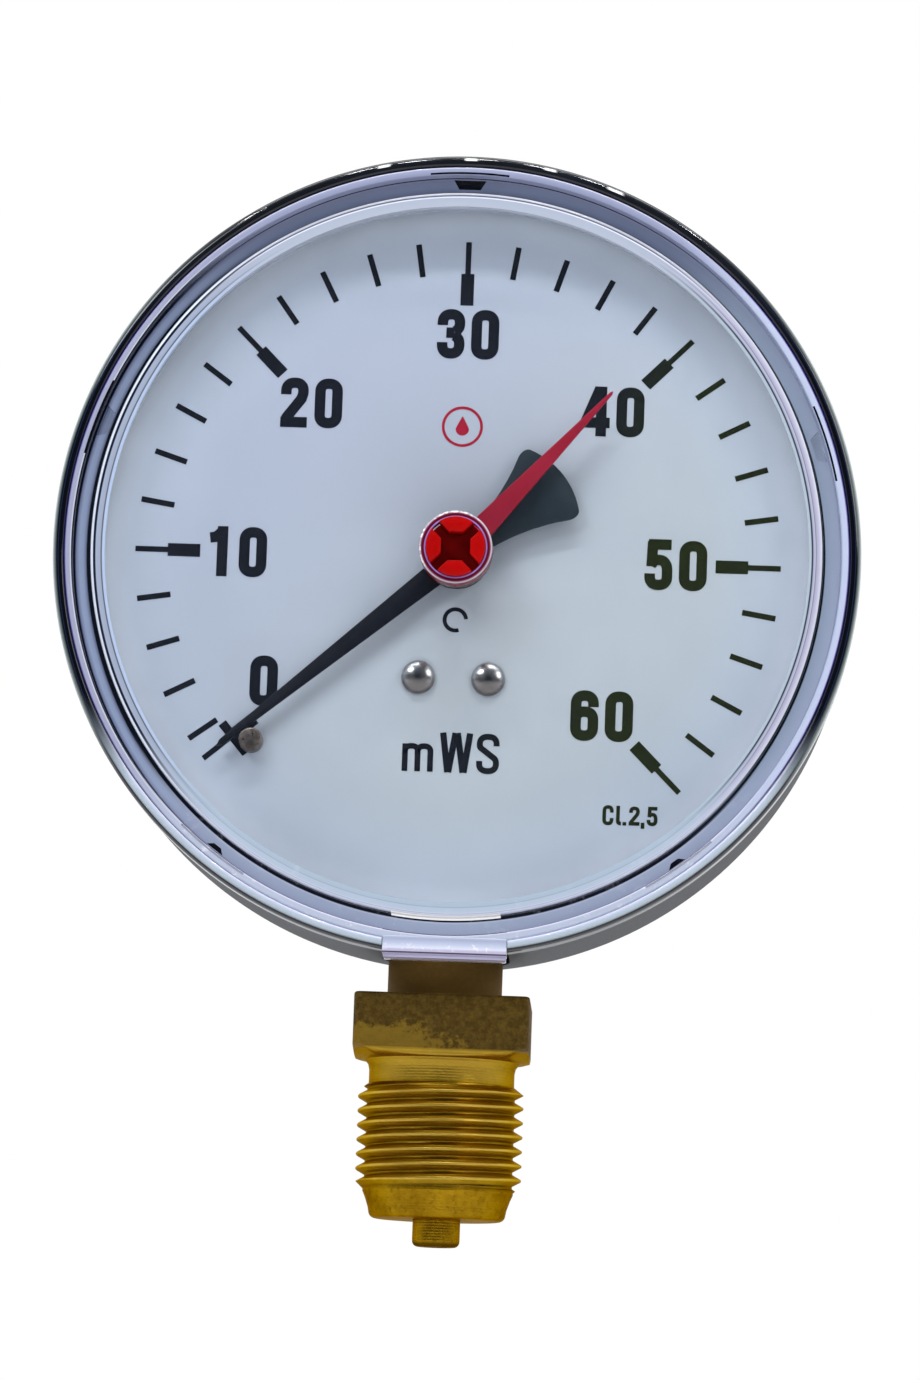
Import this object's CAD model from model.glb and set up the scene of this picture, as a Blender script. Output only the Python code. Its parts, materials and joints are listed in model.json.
"""Looks for a bottom-connection dial pressure gauge with a clear window and a red set hand."""

import json
import math

import bmesh
import bpy
from mathutils import Matrix, Vector


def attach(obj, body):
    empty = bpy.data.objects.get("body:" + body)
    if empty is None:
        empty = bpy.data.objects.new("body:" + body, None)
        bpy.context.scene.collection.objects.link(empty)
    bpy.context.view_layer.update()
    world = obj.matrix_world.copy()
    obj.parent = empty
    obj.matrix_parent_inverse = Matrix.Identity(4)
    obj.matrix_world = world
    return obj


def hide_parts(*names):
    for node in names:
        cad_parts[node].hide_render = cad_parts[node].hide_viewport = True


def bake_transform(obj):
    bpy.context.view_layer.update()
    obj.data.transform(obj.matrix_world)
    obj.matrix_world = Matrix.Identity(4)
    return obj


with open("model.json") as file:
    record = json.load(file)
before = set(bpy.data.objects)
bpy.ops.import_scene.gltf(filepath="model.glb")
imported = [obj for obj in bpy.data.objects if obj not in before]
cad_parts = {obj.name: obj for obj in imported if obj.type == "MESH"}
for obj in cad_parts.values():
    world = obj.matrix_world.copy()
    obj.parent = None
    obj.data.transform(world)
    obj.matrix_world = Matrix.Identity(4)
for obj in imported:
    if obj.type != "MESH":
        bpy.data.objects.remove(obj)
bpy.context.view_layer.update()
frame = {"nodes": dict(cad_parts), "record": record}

# ---- Sizes in millimetres: x to the right, y from the front to the back, z up ----

MM = 0.001
DIAL_Z = 82.4
DIAL_FRONT = -12.2
DIAL_BACK = -11.4
DIAL_RADIUS = 45.3
CASE_RADIUS = 50.2
CASE_BACK = 11.5
CASE_WALL = 0.8
RIM_RADIUS = 50.6
RIM_INNER = 49.2
RIM_FRONT = -19.0
SEAT_FRONT = -14.9
SEAT_BACK = -14.0
SEAT_INNER = 46.3
SLOT_RADIUS = 8.1
WINDOW_FRONT = -18.7
WINDOW_BACK = -17.1
PANE_RADIUS = 45.9
SKIRT_INNER = 44.7
SKIRT_BACK = -12.5
FLANGE_FRONT = -18.8
FLANGE_BACK = -15.2
FLANGE_RADIUS = 49.12
GROOVE_OUTER = 48.1
EDGE_BAND_INNER = 44.05
GROOVE_FRONT = -16.6
COLLAR_FRONT = -22.1
LIP_BACK = -21.9
LIP_INNER = 3.76
COLLAR_OUTER = 4.6
COLLAR_INNER = 4.0
WINDOW_BORE = 1.6
TAB_HALF = 7.72
TAB_SHIFT = 0.31
TAB_GAP = 0.06
TONGUE_HALF = 6.8
GLINTS = ((-10.9, 1.0), (0.1, 1.0), (10.1, 1.0), (18.4, 1.3), (-26.0, 0.6))
BARB_ANGLES = [90, 161, 233, 307, 18.3]
PRINT_THICKNESS = 0.03
PRINT_FRONT = DIAL_FRONT - PRINT_THICKNESS
PRINT_BACK = DIAL_FRONT - 0.001
SQUARED = 0.84
BOW_STEPS = 18
STROKE_STEP = 0.004
ZERO_ANGLE = 220.4
SET_ANGLE = 48.5
POINTER_BACK = -13.6
POINTER_FRONT = -14.1
HUB_FRONT = -14.9
HUB_BACK = -13.4
SET_BACK = -15.3
SET_FRONT = -15.8
SET_HUB_FRONT = -16.1
KNOB_FRONT = -23.2
KNOB_BACK = -19.0
KNOB_RADIUS = 3.7
KNOB_SLOT_BACK = -19.9
SCREW_X = 4.4
SCREW_Z = 67.2
RING_Z = DIAL_Z - 7.8
DROP_Z = DIAL_Z + 16.6
BACK_SCREW_X = 6
BACK_SCREW_Z = 42.0
THREAD_PITCH = 1.814
THREAD_CREST = 10.48
THREAD_ROOT = 9.34
THREAD_START = 3.7
THREAD_END = 16.8
RELIEF_RADIUS = 9.2
SQUARE_BOTTOM = 19.9
SQUARE_TOP = 27.7
SQUARE_HALF = 11.0
NECK_RADIUS = 7.25
BLOCK_BOTTOM = 34.0

FINE = 224
MEDIUM = 96
SMALL = 48
SHARP = math.radians(25)
SLACK = 0.02

# ---- Mesh tools ----


def wire(bm, points):
    verts = [bm.verts.new(point) for point in points]
    edges = [bm.edges.new(pair) for pair in zip(verts, verts[1:])]
    return verts + edges


def turned(bm, profile, x=0.0, z=DIAL_Z, steps=FINE):
    """A shape turned about a line along Y through (x, z), from (radius, y) pairs."""
    geom = wire(bm, [(x + radius, y, z) for radius, y in profile])
    bmesh.ops.spin(bm, geom=geom, cent=(x, 0, z), axis=(0, 1, 0), dvec=(0, 0, 0),
                   angle=2 * math.pi, steps=steps, use_merge=True)
    tidy(bm)


def turned_upright(bm, profile, steps=MEDIUM):
    """A shape turned about the upright axis, from (radius, z) pairs."""
    geom = wire(bm, [(radius, 0.0, z) for radius, z in profile])
    bmesh.ops.spin(bm, geom=geom, cent=(0, 0, 0), axis=(0, 0, 1), dvec=(0, 0, 0),
                   angle=2 * math.pi, steps=steps, use_merge=True)
    tidy(bm)


def tidy(bm):
    bmesh.ops.remove_doubles(bm, verts=bm.verts, dist=0.0005)
    bmesh.ops.recalc_face_normals(bm, faces=bm.faces)


def block(bm, low, high):
    size = [b - a for a, b in zip(low, high)]
    middle = [(a + b) / 2 for a, b in zip(low, high)]
    made = bmesh.ops.create_cube(bm, size=1)["verts"]
    bmesh.ops.scale(bm, vec=size, verts=made)
    bmesh.ops.translate(bm, vec=middle, verts=made)
    return made


def plate(bm, outline, front, back):
    """A flat plate from (x, z) corners, between two depths."""
    verts = [bm.verts.new((x, front, z)) for x, z in outline]
    face = bm.faces.new(verts)
    raised = bmesh.ops.extrude_face_region(bm, geom=[face])["geom"]
    moved = [item for item in raised if isinstance(item, bmesh.types.BMVert)]
    bmesh.ops.translate(bm, vec=(0, back - front, 0), verts=moved)
    bmesh.ops.recalc_face_normals(bm, faces=bm.faces)
    return verts + moved


def turn_to(bm, verts, degrees, x=0.0, z=DIAL_Z):
    """Turns part of a shape anticlockwise, as seen from the front, about (x, z)."""
    bmesh.ops.rotate(bm, cent=(x, 0, z), matrix=Matrix.Rotation(-math.radians(degrees), 3, "Y"),
                     verts=verts)


def soften(bm, width, segments=3, chosen=lambda edge: True):
    """Rounds the chosen sharp edges."""
    edges = [edge for edge in bm.edges
             if len(edge.link_faces) == 2 and edge.calc_face_angle() > SHARP
             and chosen(edge)]
    bmesh.ops.bevel(bm, geom=edges, offset=width, offset_type="OFFSET", segments=segments,
                    profile=0.5, affect="EDGES", material=-1, clamp_overlap=True)


def ring_at(radius, depth, x=0.0, z=DIAL_Z):
    """Chooses the edges of the circle with this radius and depth."""
    def chosen(edge):
        return all(abs(math.hypot(v.co.x - x, v.co.z - z) - radius) < SLACK
                   and abs(v.co.y - depth) < SLACK for v in edge.verts)
    return chosen


def level_at(radius, height):
    """Chooses the edges of the level circle with this radius and height."""
    def chosen(edge):
        return all(abs(math.hypot(v.co.x, v.co.y) - radius) < SLACK
                   and abs(v.co.z - height) < SLACK for v in edge.verts)
    return chosen


def loose(bm, name):
    mesh = bpy.data.meshes.new(name)
    bm.to_mesh(mesh)
    bm.free()
    thing = bpy.data.objects.new(name, mesh)
    bpy.context.scene.collection.objects.link(thing)
    return thing


def discard(*things):
    for thing in things:
        mesh = thing.data
        bpy.data.objects.remove(thing)
        bpy.data.meshes.remove(mesh)


def carved(bm, tool, how="DIFFERENCE"):
    """The shape bm with the shape tool cut from it, joined to it or kept in common with it."""
    body, cutter = loose(bm, "body"), loose(tool, "cutter")
    carving = body.modifiers.new("carving", "BOOLEAN")
    carving.operation = how
    carving.solver = "EXACT"
    carving.object = cutter
    result = bmesh.new()
    result.from_object(body, bpy.context.evaluated_depsgraph_get())
    discard(body, cutter)
    return result


def thickened(bm, width):
    """Gives the ribbons in bm an even width."""
    ribbon = loose(bm, "ribbon")
    wall = ribbon.modifiers.new("wall", "SOLIDIFY")
    wall.thickness = width
    wall.offset = 0.0
    wall.use_even_offset = True
    wall.use_quality_normals = True
    result = bmesh.new()
    result.from_object(ribbon, bpy.context.evaluated_depsgraph_get())
    discard(ribbon)
    return result


def finished(piece, finish, smooth):
    """Gives a piece its finish, smooth up to an angle in degrees."""
    piece.data.materials.append(finish)
    piece.data.shade_smooth()
    piece.data.set_sharp_from_angle(angle=math.radians(smooth))


def from_frame(name):
    """The shape of a piece in the frame, in millimetres."""
    bm = bmesh.new()
    bm.from_mesh(frame["nodes"][name].data)
    bmesh.ops.scale(bm, vec=(1 / MM,) * 3, verts=bm.verts)
    tidy(bm)
    return bm


def add_piece(name, bm, body, finish, stands_for=(), smooth=40):
    tidy(bm)
    bmesh.ops.scale(bm, vec=(MM, MM, MM), verts=bm.verts)
    piece = loose(bm, name)
    finished(piece, finish, smooth)
    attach(piece, body)
    if stands_for:
        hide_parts(*stands_for)
    return piece


def polar(radius, degrees):
    angle = math.radians(degrees)
    return radius * math.cos(angle), DIAL_Z + radius * math.sin(angle)


def arc(radius, start, end, count):
    return [polar(radius, start + (end - start) * i / count) for i in range(count + 1)]


# ---- Finishes ----


def put(tree, kind, inputs=None, **settings):
    node = tree.nodes.new(kind)
    for name, value in settings.items():
        setattr(node, name, value)
    for name, value in (inputs or {}).items():
        socket = node.inputs[name]
        if isinstance(value, bpy.types.NodeSocket):
            tree.links.new(value, socket)
        else:
            socket.default_value = value
    return node


def blend_colours(tree, share, first, second):
    node = put(tree, "ShaderNodeMix", {"Factor": share}, data_type="RGBA")
    for socket, value in ((node.inputs[6], first), (node.inputs[7], second)):
        if isinstance(value, bpy.types.NodeSocket):
            tree.links.new(value, socket)
        else:
            socket.default_value = value
    return node.outputs[2]


def ramped(tree, value, low, high, to_low=0.0, to_high=1.0):
    node = put(tree, "ShaderNodeMapRange", {"Value": value, "From Min": low, "From Max": high,
                                            "To Min": to_low, "To Max": to_high},
               interpolation_type="SMOOTHSTEP")
    return node.outputs["Result"]


def sums(tree, operation, first, second):
    node = put(tree, "ShaderNodeMath", {0: first, 1: second}, operation=operation)
    return node.outputs[0]


def times(tree, first, second):
    return sums(tree, "MULTIPLY", first, second)


def size_of(tree, value):
    """The value without its sign."""
    return sums(tree, "ABSOLUTE", value, 0.0)


def tone(red, green, blue):
    """A colour from the values a screen shows, 0 to 255."""
    return tuple(((c / 255 + 0.055) / 1.055) ** 2.4 if c > 10 else c / 3294
                 for c in (red, green, blue))


def banded(tree, value, low, high, stops):
    """A colour that changes along a value, from (value, colour) stops."""
    share = put(tree, "ShaderNodeMapRange", {"Value": value, "From Min": low, "From Max": high})
    node = put(tree, "ShaderNodeValToRGB", {"Fac": share.outputs["Result"]})
    elements = node.color_ramp.elements
    while len(elements) < len(stops):
        elements.new(0.5)
    for element, (place, colour) in zip(elements, stops):
        element.position = (place - low) / (high - low)
    for element, (place, colour) in zip(elements, stops):
        element.color = (*tone(*colour), 1)
    return node.outputs["Color"]


def from_axis(tree):
    """The distance from the dial's axis in millimetres, and the offsets across and up."""
    axes = put(tree, "ShaderNodeSeparateXYZ", {0: object_place(tree)})
    across = times(tree, axes.outputs["X"], 1000.0)
    up = sums(tree, "SUBTRACT", times(tree, axes.outputs["Z"], 1000.0), DIAL_Z)
    square = sums(tree, "ADD", times(tree, across, across), times(tree, up, up))
    return sums(tree, "SQRT", square, 0.0), across, up, axes.outputs["Y"]


def new_group(name, inputs, outputs):
    group = bpy.data.node_groups.new(name, "ShaderNodeTree")
    for direction, sockets in (("INPUT", inputs), ("OUTPUT", outputs)):
        for label, kind, *value in sockets:
            socket = group.interface.new_socket(label, in_out=direction, socket_type=kind)
            if value:
                socket.default_value = value[0]
    return group, group.nodes.new("NodeGroupInput"), group.nodes.new("NodeGroupOutput")


COLOUR, NUMBER = "NodeSocketColor", "NodeSocketFloat"


def object_place(tree):
    return put(tree, "ShaderNodeTexCoord").outputs["Object"]


def noise(tree, scale, detail, roughness=0.5):
    """Cloudy noise fixed to the object."""
    return put(tree, "ShaderNodeTexNoise", {"Vector": object_place(tree), "Scale": scale,
                                            "Detail": detail, "Roughness": roughness}).outputs[0]


def make_mottle():
    """Uneven colour and gloss from two sizes of cloudy noise."""
    group, given, out = new_group(
        "mottle",
        [("Colour", COLOUR), ("Second colour", COLOUR), ("Roughness", NUMBER), ("Spread", NUMBER),
         ("Patches per metre", NUMBER), ("Amount", NUMBER)],
        [("Colour", COLOUR), ("Roughness", NUMBER), ("Height", NUMBER)])
    broad = noise(group, given.outputs["Patches per metre"], 5.0, 0.6)
    fine = noise(group, 2600.0, 3.0)
    share = times(group, ramped(group, broad, 0.35, 0.68), given.outputs["Amount"])
    colour = blend_colours(group, share, given.outputs["Colour"], given.outputs["Second colour"])
    change = times(group, ramped(group, fine, 0.3, 0.7, -1.0, 1.0),
                  given.outputs["Spread"])
    group.links.new(colour, out.inputs["Colour"])
    group.links.new(sums(group, "ADD", given.outputs["Roughness"], change), out.inputs["Roughness"])
    group.links.new(fine, out.inputs["Height"])
    return group


def make_specks():
    """A few dust specks and lint, as a mask."""
    group, given, out = new_group(
        "specks", [("Specks per metre", NUMBER), ("Size", NUMBER)], [("Mask", NUMBER)])
    cells = put(group, "ShaderNodeTexVoronoi", {
        "Vector": object_place(group), "Scale": given.outputs["Specks per metre"],
        "Randomness": 1.0})
    near = sums(group, "LESS_THAN", cells.outputs["Distance"], given.outputs["Size"])
    few = sums(group, "LESS_THAN", cells.outputs["Color"], 0.22)
    group.links.new(times(group, near, few), out.inputs["Mask"])
    return group


def make_tool_marks():
    """Fine lines that a lathe leaves, one above the other along Z."""
    group, given, out = new_group(
        "tool marks", [("Lines per metre", NUMBER), ("Waver", NUMBER)], [("Height", NUMBER)])
    lines = put(group, "ShaderNodeTexWave", {
        "Vector": object_place(group), "Scale": given.outputs["Lines per metre"],
        "Distortion": given.outputs["Waver"], "Detail": 3.0, "Detail Scale": 2.0},
        bands_direction="Z")
    group.links.new(lines.outputs["Fac"], out.inputs["Height"])
    return group


MOTTLE = make_mottle()
SPECKS = make_specks()
TOOL_MARKS = make_tool_marks()


def new_finish(name, roughness=0.5, metallic=0.0, **more):
    finish = bpy.data.materials.new(name)
    finish.use_nodes = True
    tree = finish.node_tree
    shader = tree.nodes["Principled BSDF"]
    shader.inputs["Roughness"].default_value = roughness
    shader.inputs["Metallic"].default_value = metallic
    for label, value in more.items():
        shader.inputs[label.replace("_", " ")].default_value = value
    return finish, tree, shader


def placed(tree, group, inputs):
    node = tree.nodes.new("ShaderNodeGroup")
    node.node_tree = group
    for label, value in inputs.items():
        if isinstance(value, bpy.types.NodeSocket):
            tree.links.new(value, node.inputs[label])
        else:
            node.inputs[label].default_value = value
    return node


def bump(tree, shader, height, depth_mm):
    node = put(tree, "ShaderNodeBump", {"Height": height, "Distance": depth_mm * MM,
                                        "Strength": 1.0})
    tree.links.new(node.outputs["Normal"], shader.inputs["Normal"])


def mottled_finish(name, colour, second, roughness, spread=0.05, patches=60.0,
                   metallic=0.0, bump_mm=0.004, **more):
    finish, tree, shader = new_finish(name, roughness, metallic, **more)
    effect = placed(tree, MOTTLE, {"Colour": (*colour, 1), "Second colour": (*second, 1),
                                   "Roughness": roughness, "Spread": spread,
                                   "Patches per metre": patches, "Amount": 1.0})
    tree.links.new(effect.outputs["Colour"], shader.inputs["Base Color"])
    tree.links.new(effect.outputs["Roughness"], shader.inputs["Roughness"])
    bump(tree, shader, effect.outputs["Height"], bump_mm)
    return finish


def make_dial_enamel():
    """White enamel, a little warmer on the right, with a few specks of dust."""
    finish, tree, shader = new_finish("dial enamel", 0.5, Specular_IOR_Level=0.25)
    radius, across, up, _ = from_axis(tree)
    base = blend_colours(tree, ramped(tree, sums(tree, "SUBTRACT", across, up), -42.0, 30.0),
                         (*tone(184, 193, 212), 1), (*tone(192, 202, 208), 1))
    base = blend_colours(tree, ramped(tree, radius, 30.0, 41.0, 0.0, 0.7), base,
                         (*tone(200, 213, 230), 1))
    base = blend_colours(tree, ramped(tree, radius, 40.0, 44.6, 0.0, 1.0), base,
                         (*tone(219, 229, 242), 1))
    effect = placed(tree, MOTTLE, {"Colour": base, "Second colour": (*tone(176, 188, 201), 1),
                                   "Roughness": 0.5, "Spread": 0.06, "Patches per metre": 40.0,
                                   "Amount": 0.35})
    dust = placed(tree, SPECKS, {"Specks per metre": 110.0, "Size": 0.018})
    colour = blend_colours(tree, dust.outputs["Mask"], effect.outputs["Colour"],
                           (0.16, 0.15, 0.13, 1))
    tree.links.new(colour, shader.inputs["Base Color"])
    tree.links.new(effect.outputs["Roughness"], shader.inputs["Roughness"])
    bump(tree, shader, effect.outputs["Height"], 0.006)
    return finish


def make_case_paint():
    """Gloss black, with the clear window's pale light in the lower half of the rim."""
    finish, tree, shader = new_finish("black case paint", 0.07, IOR=1.5)
    radius, across, up, depth = from_axis(tree)
    effect = placed(tree, MOTTLE, {"Colour": (0.006, 0.007, 0.010, 1),
                                   "Second colour": (0.010, 0.012, 0.018, 1), "Roughness": 0.07,
                                   "Spread": 0.02, "Patches per metre": 90.0, "Amount": 1.0})
    dust = placed(tree, SPECKS, {"Specks per metre": 260.0, "Size": 0.03})
    colour = blend_colours(tree, dust.outputs["Mask"], effect.outputs["Colour"],
                           (0.14, 0.14, 0.14, 1))
    upright = sums(tree, "DIVIDE", up, radius)
    front = ramped(tree, depth, -0.0176, -0.0170, 1.0, 0.0)
    lower = times(tree, front, ramped(tree, upright, -0.62, -0.36, 1.0, 0.0))
    pale = banded(tree, radius, 49.0, 50.8, [
        (49.10, (96, 92, 130)), (49.22, (214, 216, 238)), (49.60, (186, 198, 214)),
        (49.95, (178, 192, 204)), (50.12, (150, 160, 170)), (50.20, (20, 22, 28)),
        (50.34, (24, 26, 30)), (50.42, (70, 72, 74))])
    colour = blend_colours(tree, lower, colour, pale)
    sides = times(tree, front, ramped(tree, upright, 0.80, 0.45, 0.0, 1.0))
    sheen = banded(tree, radius, 49.0, 50.8, [
        (49.20, (28, 30, 84)), (49.32, (6, 8, 14)), (49.78, (6, 8, 14)), (49.86, (30, 42, 76)),
        (49.94, (8, 10, 16)), (50.08, (22, 28, 32)), (50.36, (120, 130, 130)),
        (50.56, (196, 206, 206))])
    colour = blend_colours(tree, times(tree, sides, sums(tree, "SUBTRACT", 1.0, lower)),
                           colour, sheen)
    crest = times(tree, front, times(tree, ramped(tree, radius, 49.84, 49.92),
                                     ramped(tree, radius, 50.16, 50.26, 1.0, 0.0)))
    for place, half in GLINTS:
        away = size_of(tree, sums(tree, "SUBTRACT", across, place))
        glint = times(tree, ramped(tree, away, half * 0.45, half, 1.0, 0.0),
                     times(tree, crest, ramped(tree, upright, 0.85, 0.90)))
        colour = blend_colours(tree, glint, colour, (1.0, 1.0, 1.0, 1))
    tree.links.new(colour, shader.inputs["Base Color"])
    duller = ramped(tree, depth, -0.0165, -0.0140, 0.0, 0.44)
    tree.links.new(sums(tree, "ADD", effect.outputs["Roughness"], duller),
                   shader.inputs["Roughness"])
    bump(tree, shader, effect.outputs["Height"], 0.003)
    return finish


def let_light_through(tree, shader, least):
    """Lamp light and light between surfaces pass a clear part nearly unhindered."""
    rays = put(tree, "ShaderNodeLightPath")
    passing = sums(tree, "MAXIMUM", rays.outputs["Is Shadow Ray"], rays.outputs["Is Diffuse Ray"])
    solid = put(tree, "ShaderNodeMapRange", {"Value": passing, "To Min": 1.0, "To Max": least})
    tree.links.new(solid.outputs["Result"], shader.inputs["Alpha"])


def make_clear_plastic():
    """Clear moulded plastic that lets lamp light straight through to the dial."""
    finish, tree, shader = new_finish("clear window plastic", 0.02, IOR=1.49,
                                      Transmission_Weight=1.0)
    shader.inputs["Base Color"].default_value = (0.965, 0.975, 1.0, 1)
    let_light_through(tree, shader, 0.05)
    haze = noise(tree, 700.0, 4.0)
    tree.links.new(ramped(tree, haze, 0.45, 0.75, 0.015, 0.07), shader.inputs["Roughness"])
    return finish


def make_rim_plastic():
    """The window's moulded rim: light caught in its steps shows as pale and dark rings."""
    finish, tree, shader = new_finish("moulded window rim", 0.16, IOR=1.45)
    radius, across, up, depth = from_axis(tree)
    left = banded(tree, radius, 44.0, 49.2, [
        (44.05, (182, 200, 232)), (44.36, (180, 196, 226)), (44.42, (98, 100, 116)),
        (44.52, (98, 100, 112)), (44.60, (158, 168, 190)), (45.16, (166, 176, 198)),
        (45.24, (24, 30, 50)), (45.48, (24, 30, 50)), (45.56, (226, 232, 246)),
        (45.78, (222, 230, 246)), (45.86, (10, 12, 22)), (46.44, (14, 18, 30)),
        (46.56, (104, 114, 142)), (46.90, (146, 160, 192)), (47.40, (156, 170, 202)),
        (47.80, (122, 134, 168)), (47.92, (56, 62, 92)), (47.98, (8, 10, 20)),
        (48.24, (8, 10, 20)), (48.30, (206, 210, 228)), (48.38, (200, 203, 224)),
        (48.46, (160, 164, 188)), (48.90, (166, 168, 196)), (49.00, (116, 110, 170)),
        (49.12, (30, 30, 74))])
    right = banded(tree, radius, 44.0, 49.2, [
        (44.05, (180, 194, 208)), (44.34, (176, 190, 204)), (44.40, (56, 62, 74)),
        (44.54, (60, 66, 80)), (44.62, (168, 172, 196)), (44.86, (190, 192, 214)),
        (44.92, (112, 112, 136)), (45.02, (170, 168, 192)), (45.40, (196, 196, 218)),
        (45.66, (214, 216, 232)), (45.74, (8, 16, 22)), (46.12, (10, 22, 30)),
        (46.22, (146, 160, 184)), (47.20, (162, 174, 200)), (47.90, (170, 182, 208)),
        (48.04, (150, 160, 192)), (48.30, (190, 200, 226)), (48.88, (196, 204, 232)),
        (49.00, (96, 84, 164)), (49.12, (24, 24, 60))])
    below = banded(tree, radius, 44.0, 49.2, [
        (44.05, (176, 192, 208)), (44.60, (174, 190, 208)), (44.68, (150, 162, 180)),
        (44.76, (182, 196, 214)), (45.30, (184, 198, 216)), (45.42, (206, 210, 228)),
        (45.50, (150, 160, 184)), (45.58, (214, 218, 234)), (45.84, (190, 198, 220)),
        (45.92, (12, 14, 24)), (46.30, (16, 20, 34)), (46.40, (188, 196, 220)),
        (46.60, (166, 178, 202)), (47.80, (158, 168, 196)), (47.96, (140, 146, 180)),
        (48.02, (34, 36, 58)), (48.12, (34, 36, 58)), (48.20, (228, 230, 246)),
        (48.36, (186, 192, 216)), (48.92, (188, 198, 216)), (49.12, (180, 188, 210))])
    above = banded(tree, radius, 44.0, 49.2, [
        (44.05, (182, 190, 207)), (44.90, (178, 186, 204)), (45.14, (176, 184, 204)),
        (45.20, (234, 238, 252)), (45.30, (226, 232, 248)), (45.36, (92, 94, 112)),
        (45.46, (92, 94, 110)), (45.52, (176, 178, 192)), (45.74, (196, 198, 210)),
        (45.84, (20, 22, 34)),
        (46.16, (22, 24, 38)), (46.30, (104, 114, 142)), (47.00, (124, 134, 164)),
        (47.80, (134, 143, 174)), (47.92, (146, 152, 182)), (48.40, (152, 158, 188)),
        (48.86, (162, 168, 198)), (48.98, (226, 228, 244)), (49.06, (120, 116, 170)),
        (49.14, (24, 24, 60))])
    rings = blend_colours(tree, ramped(tree, across, -8.0, 26.0), left, right)
    upright = sums(tree, "DIVIDE", up, radius)
    upper = ramped(tree, upright, 0.62, 0.90)
    rings = blend_colours(tree, upper, rings, above)
    step_foot = times(tree, ramped(tree, depth, -0.01690, -0.01672),
                     times(tree, ramped(tree, radius, 47.98, 48.06), upper))
    rings = blend_colours(tree, step_foot, rings, (*tone(30, 34, 56), 1))
    lower = ramped(tree, upright, -0.80, -0.50, 1.0, 0.0)
    colour = blend_colours(tree, lower, rings, below)
    shine = noise(tree, 520.0, 5.0, 0.7)
    streaks = times(tree, ramped(tree, shine, 0.56, 0.70),
                   ramped(tree, radius, 48.0, 48.3, 0.12, 0.7))
    colour = blend_colours(tree, times(tree, streaks, lower), colour,
                           (*tone(246, 244, 255), 1))
    from_tab = size_of(tree, sums(tree, "SUBTRACT", across, TAB_SHIFT))
    beside = sums(tree, "LESS_THAN", from_tab, TONGUE_HALF)
    edge = times(tree, ramped(tree, radius, 45.70, 45.76),
                ramped(tree, radius, 46.08, 46.14, 1.0, 0.0))
    tongue = times(tree, times(tree, beside, lower), edge)
    colour = blend_colours(tree, tongue, colour, (*tone(252, 250, 250), 1))
    in_slit = times(tree, ramped(tree, depth, -0.01872, -0.01868),
                   times(tree, ramped(tree, radius, 48.16, 48.19),
                        ramped(tree, radius, 48.48, 48.52, 1.0, 0.0)))
    in_hole = times(tree, ramped(tree, depth, -0.01655, -0.01645),
                   times(tree, ramped(tree, radius, 46.5, 46.6),
                        ramped(tree, radius, 47.94, 47.98, 1.0, 0.0)))
    away = sums(tree, "DIVIDE", size_of(tree, up), radius)
    in_hole = times(tree, in_hole, ramped(tree, away, 0.4, 0.6))
    below_tab = times(tree, lower, sums(tree, "LESS_THAN", from_tab, TAB_HALF))
    under_tab = times(tree, below_tab, times(tree, ramped(tree, radius, 47.92, 47.96),
                                             ramped(tree, radius, 48.18, 48.22, 1.0, 0.0)))
    in_slit = times(tree, in_slit, ramped(tree, upright, -0.60, -0.40, 0.35, 1.0))
    in_slit = sums(tree, "MAXIMUM", in_slit, under_tab)
    colour = blend_colours(tree, sums(tree, "MAXIMUM", in_slit, in_hole), colour,
                           (*tone(14, 16, 28), 1))
    tree.links.new(colour, shader.inputs["Base Color"])
    let_light_through(tree, shader, 0.12)
    bump(tree, shader, shine, 0.02)
    return finish


def make_tab_plastic():
    """Clear plastic seen edge on at the bottom tab, in bright and dark bands."""
    finish, tree, shader = new_finish("moulded window tab", 0.14, IOR=1.45)
    _, _, up, _ = from_axis(tree)
    bands = banded(tree, up, -51.1, -47.9, [
        (-51.02, (196, 188, 202)), (-50.94, (70, 62, 74)), (-50.86, (196, 190, 216)),
        (-50.60, (172, 168, 198)), (-50.50, (164, 160, 190)), (-50.42, (52, 50, 74)),
        (-50.32, (56, 54, 78)), (-50.24, (206, 190, 216)), (-50.06, (192, 190, 218)),
        (-49.80, (228, 232, 248)), (-49.30, (196, 204, 228)), (-48.70, (168, 176, 202)),
        (-48.40, (186, 192, 214))])
    streaks = noise(tree, 1400.0, 5.0, 0.7)
    glints = times(tree, ramped(tree, streaks, 0.54, 0.66),
                  ramped(tree, up, -50.3, -49.9, 0.0, 0.8))
    glints = times(tree, glints, ramped(tree, up, -49.5, -49.0, 1.0, 0.0))
    colour = blend_colours(tree, glints, bands, (*tone(255, 250, 255), 1))
    tree.links.new(colour, shader.inputs["Base Color"])
    let_light_through(tree, shader, 0.12)
    bump(tree, shader, streaks, 0.02)
    return finish


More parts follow.
